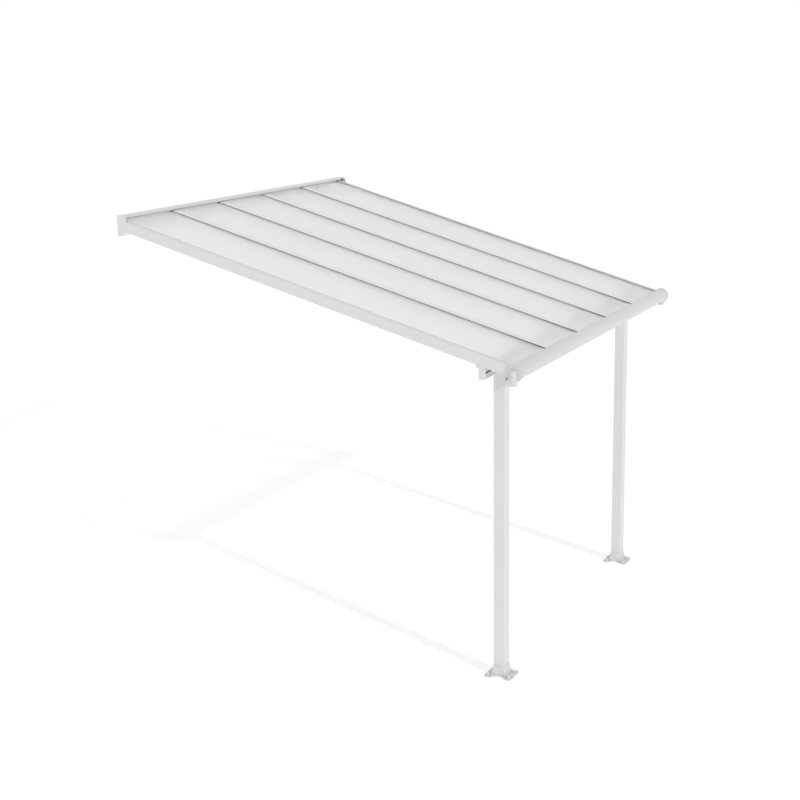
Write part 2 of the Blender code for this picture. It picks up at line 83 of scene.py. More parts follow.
# The sheets' fine form, in metres
PANEL_EASE = 0.0005
WEB_PITCH = 0.010
WEB_MARGIN = 0.004
DIP_DEPTH = 0.00016
DIP_INNER = 0.0006
DIP_OUTER = 0.0017

# Screws, anchors and bolts, in metres
RING_POINTS = 24
CAP_SCREWS_Y = (-0.09, -0.97, -1.90, -2.80)
SIDE_CAP_SCREW_SHIFT = 0.006
LEDGE_FOOT = Vector((0.0, -0.018, -0.0705))
LEDGE_TIP_DEPTH = 0.0643
LEDGE_THICKNESS = 0.0033
LEDGE_SCREW_SHARE = 0.55
LEDGE_SCREW_X = 0.012
SADDLE_SCREW_IN = 0.011
SADDLE_SCREW_UP = 0.0068
GUTTER_SCREW_X = 0.013
GUTTER_SCREW_IN = 0.003
GUTTER_SCREW_UP = 0.002
OUTER_GUTTER_SCREW_INSET = 0.004
DISC_SCREW_REACH = 0.047
DISC_SCREW_OUT = 0.0003
DISC_SCREW_ANGLES = (70, 190, 310)
ANCHOR_X = 0.056
ANCHOR_Y = 0.0725
ANCHOR_UP = 0.0152
SOCKET_HALF = 0.0437
SOCKET_SCREWS_UP = (0.036, 0.062)
POST_BOLT_X = 0.018
POST_BOLT_Z = -0.874

# Seals and plugs, and black pieces that also stand in for shade, in metres
BEAD_RADIUS = 0.0476
BEAD_INNER_RADIUS = BEAD_RADIUS * 0.955
BEAD_X = (1.5223, 1.5247)
SHADE_COLLAR_RADIUS = 0.0052
SHADE_COLLAR_X = (1.4860, 1.5246)
LIP_SHADE_FOAM_X = (1.452, 1.4865)
CORNER_SHADE_PAD_X = (1.5238, 1.5251)
CORNER_SHADE_BEAD_X = (1.5125, 1.5240)
RAIL_PLUG_X = (1.5118, 1.5246)
RAIL_TOP = 0.0068
FOAM_START = 0.0004
INNER_CAP_SIDE = 0.0302
WEDGE_SIDE = 0.0345
WALL_BLOCK_SIDE = 0.0620
WEDGE_HEIGHTS = ((-1, 0.0058), (1, 0.0030))
GROOVE_DROP = 0.0357
GROOVE_DEPTH = 0.0038
STRIP_HEIGHT = 0.0094
STRIP_RIBS = 5
STRIP_RIB_PITCH = 0.0018

# Edges sharper than these angles stay sharp, or are rounded
SHARP_ANGLE = math.radians(32)
ROUNDED_ANGLE = math.radians(35)

# Tones of the finishes, from 0 for black to 1 for white; the cap, side cap, beam and gutter tones
# are lightened or darkened as painted light and shade
COAT_TONE = 0.81
# Lighter than the coat: painted light on the inner caps
CAP_PAINTED_LIGHT_TONE = 0.88
# Darker than the coat: painted shade on the side caps' tops
SIDE_CAP_PAINTED_SHADE_TONE = 0.77
# Darker than the coat: painted shade for the beam seen through the sheets
BEAM_PAINTED_SHADE_TONE = 0.64
# Darker than the coat: painted shade on the gutter and its end caps
GUTTER_PAINTED_SHADE_TONE = 0.745
MOULDING_TONE = 0.80
BLACK_RUBBER_TONE = 0.06
GREY_RUBBER_TONE = 0.30
PALE_SEAL_TONE = 0.78
# Above this height the wall seal is painted black, as the shade in the slot under the cover's lip
PALE_SEAL_TOP_Z = 0.0442
SHEET_TONE = 0.98

# The camera, at the photograph's viewing angle
CAMERA_PLACE = (-9.785, -6.246, 1.2396)
CAMERA_HEADING = 0.39707
CAMERA_PITCH = 0.23849
CAMERA_LENS = 67.4595
CAMERA_SENSOR = 36.0
CAMERA_SHIFT = -0.12602

# Light
WORLD_LIGHT = 0.40
FLOOR_REACH = 400.0
FLOOR_GAP = 0.0002
FLOOR_TONE = 0.80
FLOOR_LIGHT = 0.40
FLOOR_SEEN_LIGHT = 0.44
KEY_LIGHT = 0.75
KEY_SIZE = math.radians(1.5)
KEY_WAY = (0.459, 1.0, -0.568)
SOFT_LIGHT = 0.785
SOFT_SIZE = math.radians(100)
SOFT_WAY = (0.35, 0.0, -1.0)


# Places on the object
def roof_point(x, y, height=0.0):
    """A point over the roof panels' top face, at a square height from it."""
    rise = y * math.tan(ROOF_SLOPE) + height / math.cos(ROOF_SLOPE)
    return Vector((x, y, ROOF_START_Z + rise))


def over_roof(y, height):
    """The (y, z) pair of a point at a square height from the panels' top face."""
    return (y, roof_point(0.0, y, height).z)


def round_gutter(radius, angle):
    """The (y, z) pair of a point round the gutter's middle line, from its front over its top."""
    return (GUTTER_Y - radius * math.cos(angle), GUTTER_Z + radius * math.sin(angle))


def is_outer(index):
    """Whether a rafter is one of the two side rafters."""
    return index in (0, len(RAFTERS) - 1)


# Node helpers
def start_material(name, metallic=0.0):
    """A new material with its node tree and shader."""
    material = bpy.data.materials.new(name)
    material.use_nodes = True
    shader = material.node_tree.nodes["Principled BSDF"]
    shader.inputs["Metallic"].default_value = metallic
    return material, material.node_tree, shader


def place(tree):
    """Where a spot is on the object, in metres."""
    return tree.nodes.new("ShaderNodeTexCoord").outputs["Object"]


def coordinate(tree, vector, axis):
    """One coordinate of a vector."""
    split = tree.nodes.new("ShaderNodeSeparateXYZ")
    tree.links.new(vector, split.inputs["Vector"])
    return split.outputs[axis]


def noise(tree, vector, scale, detail, roughness=0.5):
    """Soft noise, with its scale in cycles to the metre and its detail in octaves."""
    node = tree.nodes.new("ShaderNodeTexNoise")
    node.inputs["Scale"].default_value = scale
    node.inputs["Detail"].default_value = detail
    node.inputs["Roughness"].default_value = roughness
    tree.links.new(vector, node.inputs["Vector"])
    return node.outputs["Fac"]


def spread(tree, value, low, high, from_low=0.3, from_high=0.7):
    """Stretch a value to a new range, by default from the range that holds most noise."""
    node = tree.nodes.new("ShaderNodeMapRange")
    node.inputs["From Min"].default_value = from_low
    node.inputs["From Max"].default_value = from_high
    node.inputs["To Min"].default_value = low
    node.inputs["To Max"].default_value = high
    tree.links.new(value, node.inputs["Value"])
    return node.outputs["Result"]


def mix(tree, factor, first, second):
    """Mix two colours; each is a colour or a node's output."""
    node = tree.nodes.new("ShaderNodeMix")
    node.data_type = "RGBA"
    tree.links.new(factor, node.inputs["Factor"])
    for value, socket in ((first, node.inputs["A"]), (second, node.inputs["B"])):
        if isinstance(value, tuple):
            socket.default_value = (*value, 1.0)
        else:
            tree.links.new(value, socket)
    return node.outputs["Result"]


def maths(tree, operation, first, second=None):
    """One operation on one or two values; each is a number or a node's output."""
    node = tree.nodes.new("ShaderNodeMath")
    node.operation = operation
    for index, value in enumerate((first, second)):
        if value is None:
            continue
        if isinstance(value, (int, float)):
            node.inputs[index].default_value = value
        else:
            tree.links.new(value, node.inputs[index])
    return node.outputs["Value"]


def colour_in(tree, shader, colour):
    """Give a shader its colour."""
    tree.links.new(colour, shader.inputs["Base Color"])


def roughen(tree, shader, pattern, low, high):
    """Let a shader's roughness wander between two values."""
    tree.links.new(spread(tree, pattern, low, high), shader.inputs["Roughness"])


def bump(tree, shader, height, distance, strength):
    """Give a shader a fine relief, with its depth in metres."""
    node = tree.nodes.new("ShaderNodeBump")
    node.inputs["Distance"].default_value = distance
    node.inputs["Strength"].default_value = strength
    tree.links.new(height, node.inputs["Height"])
    tree.links.new(node.outputs["Normal"], shader.inputs["Normal"])


def choose_surface(tree, factor, first, second, output):
    """Put out the first shader where the factor is zero, and the second where it is one."""
    node = tree.nodes.new("ShaderNodeMixShader")
    for socket, source in zip(node.inputs, (factor, first.outputs[0], second.outputs[0])):
        tree.links.new(source, socket)
    tree.links.new(node.outputs[0], output.inputs["Surface"])


def grey(value):
    """A colour without any tint."""
    return (value, value, value)


def ground_dust(tree, vector, reach):
    """How dusty a spot is: most just above the ground, in uneven patches."""
    low = spread(tree, coordinate(tree, vector, "Z"), 1.0, 0.0, GROUND_Z, GROUND_Z + reach)
    patches = spread(tree, noise(tree, vector, 34.0, 4.0), 0.2, 1.0)
    return maths(tree, "MULTIPLY", low, patches)


# Materials
def powder_coat(name, tone):
    """Baked white powder coat: a fine orange peel, a slight drift in tone and dust low down."""
    material, tree, shader = start_material(name)
    shader.inputs["IOR"].default_value = 1.45
    shader.inputs["Specular IOR Level"].default_value = 0.25
    vector = place(tree)
    drift = spread(tree, noise(tree, vector, 1.9, 3.0), 0.0, 1.0)
    colour = mix(tree, drift, grey(tone - 0.006), grey(tone + 0.006))
    dusty = (tone * 0.90, tone * 0.89, tone * 0.87)
    colour_in(tree, shader, mix(tree, ground_dust(tree, vector, 0.16), colour, dusty))
    roughen(tree, shader, noise(tree, vector, 46.0, 3.0), 0.36, 0.45)
    bump(tree, shader, noise(tree, vector, 520.0, 2.0), 0.00025, 0.30)
    return material


def moulded_plastic(name, tone):
    """Spark-textured white plastic with faint flow marks and dust low down."""
    material, tree, shader = start_material(name)
    shader.inputs["IOR"].default_value = 1.50
    vector = place(tree)
    flow = spread(tree, noise(tree, vector, 22.0, 3.0, 0.6), 0.0, 1.0)
    colour = mix(tree, flow, grey(tone - 0.008), grey(tone + 0.008))
    dusty = (tone * 0.88, tone * 0.87, tone * 0.85)
    colour_in(tree, shader, mix(tree, ground_dust(tree, vector, 0.10), colour, dusty))
    roughen(tree, shader, noise(tree, vector, 120.0, 2.0), 0.48, 0.60)
    bump(tree, shader, noise(tree, vector, 1500.0, 1.0), 0.00012, 0.45)
    return material


def rubber_bloom(tree, vector):
    """The cloudy bloom on rubber."""
    return spread(tree, noise(tree, vector, 90.0, 4.0, 0.6), 0.0, 1.0)


def matt_rubber(name, tone):
    """Matt seal rubber with a fine bloom."""
    material, tree, shader = start_material(name)
    vector = place(tree)
    bloom = rubber_bloom(tree, vector)
    colour_in(tree, shader, mix(tree, bloom, grey(tone), grey(tone * 1.6)))
    roughen(tree, shader, noise(tree, vector, 240.0, 2.0), 0.74, 0.92)
    bump(tree, shader, noise(tree, vector, 900.0, 2.0), 0.0001, 0.40)
    return material


def pale_seal_with_painted_shade(name, edge, dark, pale):
    """A pale seal with painted shade: black along its upper edge, standing in for the shade in the
    slot under the cover's lip, and pale below it.
    """
    material, tree, shader = start_material(name)
    vector = place(tree)
    height = coordinate(tree, vector, "Z")
    # Black above the edge height: painted shade for the slot under the cover's lip
    upper = spread(tree, height, 0.0, 1.0, edge - 0.0001, edge + 0.0001)
    bloom = rubber_bloom(tree, vector)
    black = mix(tree, bloom, grey(dark), grey(dark * 1.6))
    white = mix(tree, bloom, grey(pale - 0.02), grey(pale + 0.02))
    colour_in(tree, shader, mix(tree, upper, white, black))
    roughen(tree, shader, noise(tree, vector, 240.0, 2.0), 0.70, 0.90)
    bump(tree, shader, noise(tree, vector, 900.0, 2.0), 0.0001, 0.40)
    return material


def zinc_plate(name):
    """Bright zinc plating with a fine brushed grain and darker spots."""
    material, tree, shader = start_material(name, metallic=1.0)
    vector = place(tree)
    spots = spread(tree, noise(tree, vector, 300.0, 4.0, 0.65), 0.0, 1.0)
    colour_in(tree, shader, mix(tree, spots, (0.74, 0.75, 0.76), (0.86, 0.87, 0.88)))
    roughen(tree, shader, noise(tree, vector, 700.0, 2.0), 0.26, 0.44)
    bump(tree, shader, noise(tree, vector, 1800.0, 1.0), 0.00005, 0.5)
    return material


def twin_wall_skin(name, clarity, tone, haze, lamp_share):
    """A skin of twin-wall sheet: light passes softly, and the webs show as faint lines along it.

    The lamps shine straight through it, dimmed to the given share.
    """
    material, tree, shader = start_material(name)
    shader.inputs["IOR"].default_value = 1.25
    shader.inputs["Transmission Weight"].default_value = clarity
    vector = place(tree)
    turn = maths(tree, "MULTIPLY", coordinate(tree, vector, "X"), 2 * math.pi / WEB_PITCH)
    web = maths(tree, "POWER", maths(tree, "MAXIMUM", maths(tree, "COSINE", turn), 0.0), 6.0)
    cloud = spread(tree, noise(tree, vector, 2.6, 3.0), 0.0, 1.0)
    colour = mix(tree, cloud, grey(tone - 0.007), grey(tone + 0.007))
    colour_in(tree, shader, mix(tree, web, colour, grey(tone + 0.02)))
    roughen(tree, shader, noise(tree, vector, 60.0, 3.0), haze - 0.04, haze + 0.04)
    through = tree.nodes.new("ShaderNodeBsdfTransparent")
    through.inputs["Color"].default_value = (*grey(lamp_share), 1.0)
    shadow = tree.nodes.new("ShaderNodeLightPath").outputs["Is Shadow Ray"]
    choose_surface(tree, shadow, shader, through, tree.nodes["Material Output"])
    return material


# Object and mesh helpers
def add_object(name, data):
    """A new object in the scene, for a mesh, a lamp or the camera."""
    thing = bpy.data.objects.new(name, data)
    bpy.context.scene.collection.objects.link(thing)
    return thing


def add_piece(name, mesh, material):
    """Turn a finished mesh into a piece of the part."""
    data = bpy.data.meshes.new(name)
    bmesh.ops.recalc_face_normals(mesh, faces=mesh.faces)
    mesh.to_mesh(data)
    mesh.free()
    data.materials.append(material)
    data.shade_smooth()
    data.set_sharp_from_angle(angle=SHARP_ANGLE)
    piece = add_object(name, data)
    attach(piece, "root")
    return piece


def soften(obj, width, segments=2):
    """A small round along an object's sharp edges."""
    modifier = obj.modifiers.new("eased_edges", "BEVEL")
    modifier.width = width
    modifier.segments = segments
    modifier.limit_method = "ANGLE"
    modifier.angle_limit = ROUNDED_ANGLE
    modifier.harden_normals = True


def close_body(mesh, loops):
    """Faces from each loop of points to the next, and across both ends."""
    for first, second in zip(loops, loops[1:]):
        for i in range(len(first)):
            j = (i + 1) % len(first)
            mesh.faces.new((first[i], first[j], second[j], second[i]))
    mesh.faces.new(loops[0])
    mesh.faces.new(loops[-1])


def sweep_x(mesh, outline, x_start, x_end):
    """A (y, z) outline drawn out along X into a closed body."""
    close_body(mesh, [[mesh.verts.new((x, y, z)) for y, z in outline] for x in (x_start, x_end)])


def sweep_side(mesh, outline, side, reach):
    """A (y, z) outline drawn out between two distances along X, on one side of the object."""
    sweep_x(mesh, outline, side * reach[0], side * reach[1])


def ring_points(radius, six_sided):
    """Points round a circle, or round a hexagon with the radius from its middle to its flats."""
    points = []
    for i in range(RING_POINTS):
        angle = 2 * math.pi * (i + 0.5) / RING_POINTS
        reach = radius
        if six_sided:
            part = (angle + math.pi / 6) % (math.pi / 3) - math.pi / 6
            reach = radius / math.cos(part)
        points.append((reach * math.cos(angle), reach * math.sin(angle)))
    return points


def turned(mesh, rings, matrix):
    """A closed body from rings of (radius, height, six_sided)."""
    loops = []
    for radius, height, six_sided in rings:
        points = ring_points(radius, six_sided)
        loops.append([mesh.verts.new(matrix @ Vector((x, y, height))) for x, y in points])
    close_body(mesh, loops)


def facing(spot, way, turn):
    """A matrix that stands a turned body at a spot, facing a direction."""
    rotation = Vector(way).to_track_quat("Z", "Y").to_matrix().to_4x4()
    return Matrix.Translation(spot) @ rotation @ Matrix.Rotation(turn, 4, "Z")


def pan_screw(mesh, spot, way, radius, height, turn):
    """A domed screw head with a six-sided socket and a thin flange."""
    socket = radius * 0.42
    rings = [
        (radius * 0.9, -0.0006, False),
        (radius * 1.12, -0.0002, False),
        (radius * 1.12, height * 0.16, False),
        (radius * 1.00, height * 0.24, False),
        (radius * 0.96, height * 0.50, False),
        (radius * 0.84, height * 0.78, False),
        (radius * 0.66, height * 0.95, False),
        (radius * 0.52, height, False),
        (socket, height * 0.98, True),
        (socket * 0.94, height * 0.35, True),
        (socket * 0.25, height * 0.22, False),
    ]
    turned(mesh, rings, facing(spot, way, turn))


def hex_screw(mesh, spot, way, flat, height, turn):
    """A six-sided screw head on a thin washer."""
    rings = [
        (flat * 1.55, -0.0006, False),
        (flat * 1.62, 0.0004, False),
        (flat * 1.58, 0.0012, False),
        (flat * 1.18, 0.0017, False),
        (flat * 0.99, 0.0018, True),
        (flat * 1.00, height * 0.86, True),
        (flat * 0.93, height * 0.97, False),
        (flat * 0.55, height, False),
    ]
    turned(mesh, rings, facing(spot, way, turn))


def anchor_bolt(mesh, spot, turn):
    """A washer, a nut and the threaded end of a floor anchor."""
    washer = [
        (0.0108, 0.0000, False),
        (0.0112, 0.0004, False),
        (0.0112, 0.0014, False),
        (0.0108, 0.0018, False),
    ]
    nut = [
        (0.0068, 0.0019, True),
        (0.0071, 0.0026, True),
        (0.0071, 0.0072, True),
        (0.0069, 0.0079, True),
        (0.0058, 0.0082, False),
    ]
    thread = []
    for i in range(3):
        thread.append((0.0034, 0.0083 + i * 0.0010, False))
        thread.append((0.0039, 0.0088 + i * 0.0010, False))
    thread.append((0.0030, 0.0116, False))
    matrix = facing(spot, (0, 0, 1), turn)
    for rings in (washer, nut, thread):
        turned(mesh, rings, matrix)


# The carried-over parts
def finish_of(name):
    """The finish of a carried-over part, told from its name; the inner caps get a coat lightened
    as painted light, and the side caps, beam and gutter coats darkened as painted shade.
    """
    if name == "wall_gasket":
        return wall_seal_painted_shade
    if name.startswith("side_gasket"):
        return grey_rubber_and_painted_shade
    if "gasket" in name:
        return black_rubber_and_painted_shade
    if name.startswith("rafter_cap"):
        return cap_painted_light_coat
    if name.startswith("side_cap"):
        return side_cap_painted_shade_coat
    if name == "support_beam":
        return beam_painted_shade_coat
    if name.startswith("gutter"):
        return gutter_painted_shade_coat
    if "end_cap" in name or "saddle" in name or "foot" in name:
        return moulding
    return coat


def dress_frame():
    """Give every carried-over part but the roof panels its finish, and all but the gaskets and end
    profiles a small round on their edges.
    """
    for name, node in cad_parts.items():
        if name.startswith("roof_panel_"):
            continue
        for slot in node.material_slots:
            slot.material = finish_of(name)
        if "gasket" in name or "end_profile" in name:
            continue
        if "post_foot" in name:
            soften(node, 0.0007, segments=1)
        elif name.startswith("gutter"):
            soften(node, 0.0006, segments=1)
        else:
            soften(node, 0.0008)


# Twin-wall roof panels
def panel_section(left, right):
    """An (x, height) outline whose two skins dip a little over every web."""
    top = [(left, -PANEL_EASE), (left + PANEL_EASE, 0.0)]
    first = math.ceil((left + WEB_MARGIN) / WEB_PITCH)
    last = math.floor((right - WEB_MARGIN) / WEB_PITCH)
    for k in range(first, last + 1):
        x = k * WEB_PITCH
        top += [(x - DIP_OUTER, 0.0), (x - DIP_INNER, -DIP_DEPTH)]
        top += [(x + DIP_INNER, -DIP_DEPTH), (x + DIP_OUTER, 0.0)]
    top += [(right - PANEL_EASE, 0.0), (right, -PANEL_EASE)]
    under = [(x, -PANEL_THICKNESS - h) for x, h in reversed(top)]
    return top + under


def make_panels():
    """Closed sheets with an opal top skin and edges, and a clear lower skin."""
    slope_way = Vector((0.0, -math.cos(ROOF_SLOPE), -math.sin(ROOF_SLOPE)))
    length = (PANEL_BACK_Y - PANEL_FRONT_Y) / math.cos(ROOF_SLOPE)
    back = roof_point(0.0, PANEL_BACK_Y)
    for index, (left, right) in enumerate(PANEL_EDGES):
        mesh = bmesh.new()
        section = [Vector((x, 0, 0)) + ROOF_NORMAL * h for x, h in panel_section(left, right)]
        ends = (back, back + slope_way * length)
        close_body(mesh, [[mesh.verts.new(end + point) for point in section] for end in ends])
        name = "twin_wall_panel_%d" % (index + 1)
        piece = add_piece(name, mesh, opal_skin)
        piece.data.materials.append(clear_skin)
        for face in piece.data.polygons:
            if face.normal.z < -0.5:
                face.material_index = 1
        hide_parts("roof_panel_%d" % (index + 1))


# Fasteners
def make_cap_screws():
    """Small painted screws near both ends of every cap, and at the third points between."""
    mesh = bmesh.new()
    for i, x in enumerate(RAFTERS):
        height = SIDE_CAP_TOP if is_outer(i) else INNER_CAP_TOP
        shift = math.copysign(SIDE_CAP_SCREW_SHIFT, x) if is_outer(i) else 0.0
        for y in CAP_SCREWS_Y:
            spot = roof_point(x + shift, y, height)
            pan_screw(mesh, spot, ROOF_NORMAL, radius=0.0036, height=0.0014, turn=i * 0.3 + y)
    add_piece("cap_screws", mesh, coat)


def make_ledge_screws():
    """Six-sided screws up through the ledge, two into each rafter."""
    mesh = bmesh.new()
    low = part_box("wall_ledge")[0]
    tip_z = roof_point(0.0, low.y, -LEDGE_TIP_DEPTH).z - LEDGE_THICKNESS
    down = Vector((0.0, low.y, tip_z)) - LEDGE_FOOT
    along = down.normalized()
    under = Vector((0.0, along.z, -along.y))
    for i, x in enumerate(RAFTERS):
        for side in (-LEDGE_SCREW_X, LEDGE_SCREW_X):
            spot = LEDGE_FOOT + down * LEDGE_SCREW_SHARE + Vector((x + side, 0.0, 0.0))
            hex_screw(mesh, spot, under, flat=0.0042, height=0.0045, turn=i + side * 40)
    add_piece("ledge_screws", mesh, coat)


def make_saddle_screws():
    """Screws through both cheeks of each saddle into its rafter."""
    mesh = bmesh.new()
    for i, name in enumerate(SADDLES):
        low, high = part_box(name)
        for side in (-1, 1):
            x = high.x if side > 0 else low.x
            spot = Vector((x, high.y - SADDLE_SCREW_IN, low.z + SADDLE_SCREW_UP))
            pan_screw(mesh, spot, (side, 0, 0), radius=0.0034, height=0.0022, turn=0.4 * i)
    add_piece("saddle_screws", mesh, moulding)


def make_gutter_details():
    """Screws through the gutter's back and its end discs, and a sealing bead inside each end."""
    screws = bmesh.new()
    y = GUTTER_Y + GUTTER_RADIUS - GUTTER_SCREW_IN
    for i, x in enumerate(RAFTERS):
        inset = -math.copysign(OUTER_GUTTER_SCREW_INSET, x) if is_outer(i) else 0.0
        for side in (-GUTTER_SCREW_X, GUTTER_SCREW_X):
            spot = Vector((x + side + inset, y, GUTTER_Z + GUTTER_SCREW_UP))
            pan_screw(screws, spot, (0, -1, 0), radius=0.0042, height=0.0024, turn=i + side)
    for side in (-1, 1):
        x = side * (HALF_WIDTH + END_DISC + DISC_SCREW_OUT)
        for angle in DISC_SCREW_ANGLES:
            turn = math.radians(angle)
            y, z = round_gutter(DISC_SCREW_REACH, turn)
            spot = Vector((x, y - END_DISC_DROP, z - END_DISC_DROP))
            pan_screw(screws, spot, (side, 0, 0), radius=0.0034, height=0.0020, turn=turn)
    add_piece("gutter_screws", screws, coat)

    angles = [math.radians(-178 + i * 10.0) for i in range(25)]
    outline = [round_gutter(BEAD_RADIUS, angle) for angle in angles]
    outline += [round_gutter(BEAD_INNER_RADIUS, angle) for angle in reversed(angles)]
    beads = bmesh.new()
    for side in (-1, 1):
        sweep_side(beads, outline, side, BEAD_X)
    add_piece("gutter_sealant", beads, moulding)


def make_foot_details():
    """Floor anchors in the four bosses of each foot, and screws through the socket."""
    for side, word in ((-1, "left"), (1, "right")):
        middle_x = side * POST_X
        anchors = bmesh.new()
        for i, (sx, sy) in enumerate(((-1, -1), (-1, 1), (1, -1), (1, 1))):
            x, y = middle_x + sx * ANCHOR_X, POST_Y + sy * ANCHOR_Y
            anchor_bolt(anchors, Vector((x, y, GROUND_Z + ANCHOR_UP)), 0.35 + i * 0.8)
        add_piece("foot_anchors_" + word, anchors, zinc)
        screws = bmesh.new()
        for sx in (-1, 1):
            for z in SOCKET_SCREWS_UP:
                spot = Vector((middle_x + sx * SOCKET_HALF, POST_Y, GROUND_Z + z))
                pan_screw(screws, spot, (sx, 0, 0), radius=0.0045, height=0.0026, turn=z * 30)
        add_piece("socket_screws_" + word, screws, moulding)


def make_post_bolts_and_shade():
    """Dark bolts that hold each post to the bracket inside it; their dark grey also stands in for
    the shade under the gutter, as painted shade.
    """
    mesh = bmesh.new()
    for side in (-1, 1):
        for way in (-1, 1):
            for x in (-POST_BOLT_X, POST_BOLT_X):
                spot = Vector((side * POST_X + x, POST_Y + way * POST_HALF, POST_BOLT_Z))
                hex_screw(mesh, spot, (0, way, 0), flat=0.0075, height=0.0056, turn=x * 30)
    # Dark grey that also stands in for the shade under the gutter, as painted shade
    add_piece("post_screws_and_painted_shade", mesh, grey_rubber_and_painted_shade)


# Seals and plugs, and black pieces that also stand in for shade
def make_corner_seals_and_shade():
    """Black foam and beads in the wall covers' corners and under the far cover's lip, and a collar
    on the gutter's far lip: seals whose black also stands in for the shade in these corners and
    gaps, as painted shade.
    """
    mesh = bmesh.new()
    lip_back, lip_front, lip_bottom = -0.0228, -0.0262, 0.0473
    lip_shade_foam = [
        over_roof(lip_back, 0.0030),
        (lip_front - 0.0016, roof_point(0.0, lip_front, 0.0030).z),
        (lip_front - 0.0006, lip_bottom - 0.0015),
        (lip_front, lip_bottom),
        (lip_back, lip_bottom),
    ]
    sweep_x(mesh, lip_shade_foam, *LIP_SHADE_FOAM_X)
    high_shade_pad = [
        over_roof(-0.0275, RAIL_TOP + 0.0022),
        over_roof(-0.0520, RAIL_TOP + 0.0022),
        (-0.0525, 0.0470),
        (-0.0500, 0.0525),
        (-0.0440, 0.0545),
        (-0.0300, 0.0545),
        (-0.0272, 0.0520),
    ]
    low_shade_pad = [
        over_roof(-0.0635, RAIL_TOP + 0.0003),
        over_roof(-0.0684, RAIL_TOP + 0.0003),
        (-0.0684, 0.0440),
        (-0.0668, 0.0480),
        (-0.0640, 0.0470),
    ]
    bead = [
        over_roof(-0.0702, RAIL_TOP),
        over_roof(-0.0752, RAIL_TOP),
        over_roof(-0.0738, RAIL_TOP + 0.0016),
        over_roof(-0.0716, RAIL_TOP + 0.0030),
        over_roof(-0.0702, RAIL_TOP + 0.0034),
    ]
    for side in (-1, 1):
        sweep_side(mesh, high_shade_pad, side, CORNER_SHADE_PAD_X)
        sweep_side(mesh, low_shade_pad, side, CORNER_SHADE_PAD_X)
        sweep_side(mesh, bead, side, CORNER_SHADE_BEAD_X)
    turns = [i * math.tau / 20 for i in range(20)]
    collar = [
        (LIP_Y + SHADE_COLLAR_RADIUS * math.cos(turn), LIP_Z + SHADE_COLLAR_RADIUS * math.sin(turn))
        for turn in turns
    ]
    sweep_x(mesh, collar, *SHADE_COLLAR_X)
    add_piece("corner_seals_and_painted_shade", mesh, black_rubber_and_painted_shade)


def make_rail_end_seals_and_shade():
    """Black foam wedges beside the ends of the inner caps, against the sheets and the wall gasket;
    their black also stands in for the shade under the caps' ends, as painted shade.
    """
    wall_shade_block = [
        over_roof(-0.0266, FOAM_START),
        over_roof(-0.0330, FOAM_START),
        over_roof(-0.0320, 0.0028),
        over_roof(-0.0266, 0.0040),
    ]
    mesh = bmesh.new()
    for x in RAFTERS[1:-1]:
        for side, height in WEDGE_HEIGHTS:
            front_shade_wedge = [
                over_roof(-2.6000, FOAM_START),
                over_roof(-2.8496, FOAM_START),
                over_roof(-2.8496, height - 0.0004),
                over_roof(-2.8440, height),
                over_roof(-2.6000, 0.0010),
            ]
            sweep_x(mesh, front_shade_wedge, x + side * INNER_CAP_SIDE, x + side * WEDGE_SIDE)
        sweep_x(mesh, wall_shade_block, x - INNER_CAP_SIDE, x - WALL_BLOCK_SIDE)
    add_piece("rail_end_seals_and_painted_shade", mesh, black_rubber_and_painted_shade)


def make_beam_groove_seal_and_shade():
    """The ribbed black rubber strip in the groove along the beam's front; its black also stands in
    for the shade in the groove, as painted shade.
    """
    low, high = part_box("support_beam")
    bottom = high.z - GROOVE_DROP
    back = low.y + GROOVE_DEPTH
    outline = [(back, bottom), (back, bottom + STRIP_HEIGHT)]
    for i in reversed(range(STRIP_RIBS)):
        middle = bottom + 0.0011 + i * STRIP_RIB_PITCH
        outline += [
            (back - 0.0010, middle + 0.0006),
            (back - 0.0016, middle),
            (back - 0.0010, middle - 0.0006),
        ]
    mesh = bmesh.new()
    sweep_x(mesh, outline, low.x + 0.001, high.x - 0.001)
    add_piece("beam_groove_seal_and_painted_shade", mesh, black_rubber_and_painted_shade)


def make_rail_plugs():
    """Moulded plugs that close the front ends of the two side rails, under their caps."""
    back, front = -2.8262, -2.8512
    cap_underside = 0.0032
    outline = [
        over_roof(back, -0.0125),
        over_roof(back, cap_underside),
        over_roof(front, cap_underside),
        over_roof(front, -0.0085),
        over_roof(front + 0.0040, -0.0125),
    ]
    mesh = bmesh.new()
    for side in (-1, 1):
        sweep_side(mesh, outline, side, RAIL_PLUG_X)
    add_piece("rail_end_plugs", mesh, moulding)


# Camera, light and floor
def make_camera():
    """A camera at the photograph's viewing angle."""
    data = bpy.data.cameras.new("camera")
    data.lens = CAMERA_LENS
    data.sensor_width = CAMERA_SENSOR
    data.shift_x = CAMERA_SHIFT
    data.clip_start = 0.05
    data.clip_end = 400.0
    camera = add_object("camera", data)
    camera.location = CAMERA_PLACE
    camera.rotation_euler = (math.pi / 2 - CAMERA_PITCH, 0.0, CAMERA_HEADING - math.pi / 2)
    bpy.context.scene.camera = camera


def seen_directly(tree):
    """One where the eye looks, also in a mirror or through glass, and zero for scattered light."""
    path = tree.nodes.new("ShaderNodeLightPath")
    looked = maths(tree, "MAXIMUM", path.outputs["Is Camera Ray"], path.outputs["Is Glossy Ray"])
    looked = maths(tree, "MAXIMUM", looked, path.outputs["Is Transmission Ray"])
    unscattered = maths(tree, "LESS_THAN", path.outputs["Diffuse Depth"], 0.5)
    return maths(tree, "MULTIPLY", looked, unscattered)


def add_lamp(name, energy, size, way):
    """A far lamp of a given width in the sky, shining one way."""
    data = bpy.data.lights.new(name, "SUN")
    data.energy = energy
    data.angle = size
    lamp = add_object(name, data)
    lamp.rotation_euler = Vector(way).to_track_quat("-Z", "Y").to_euler()


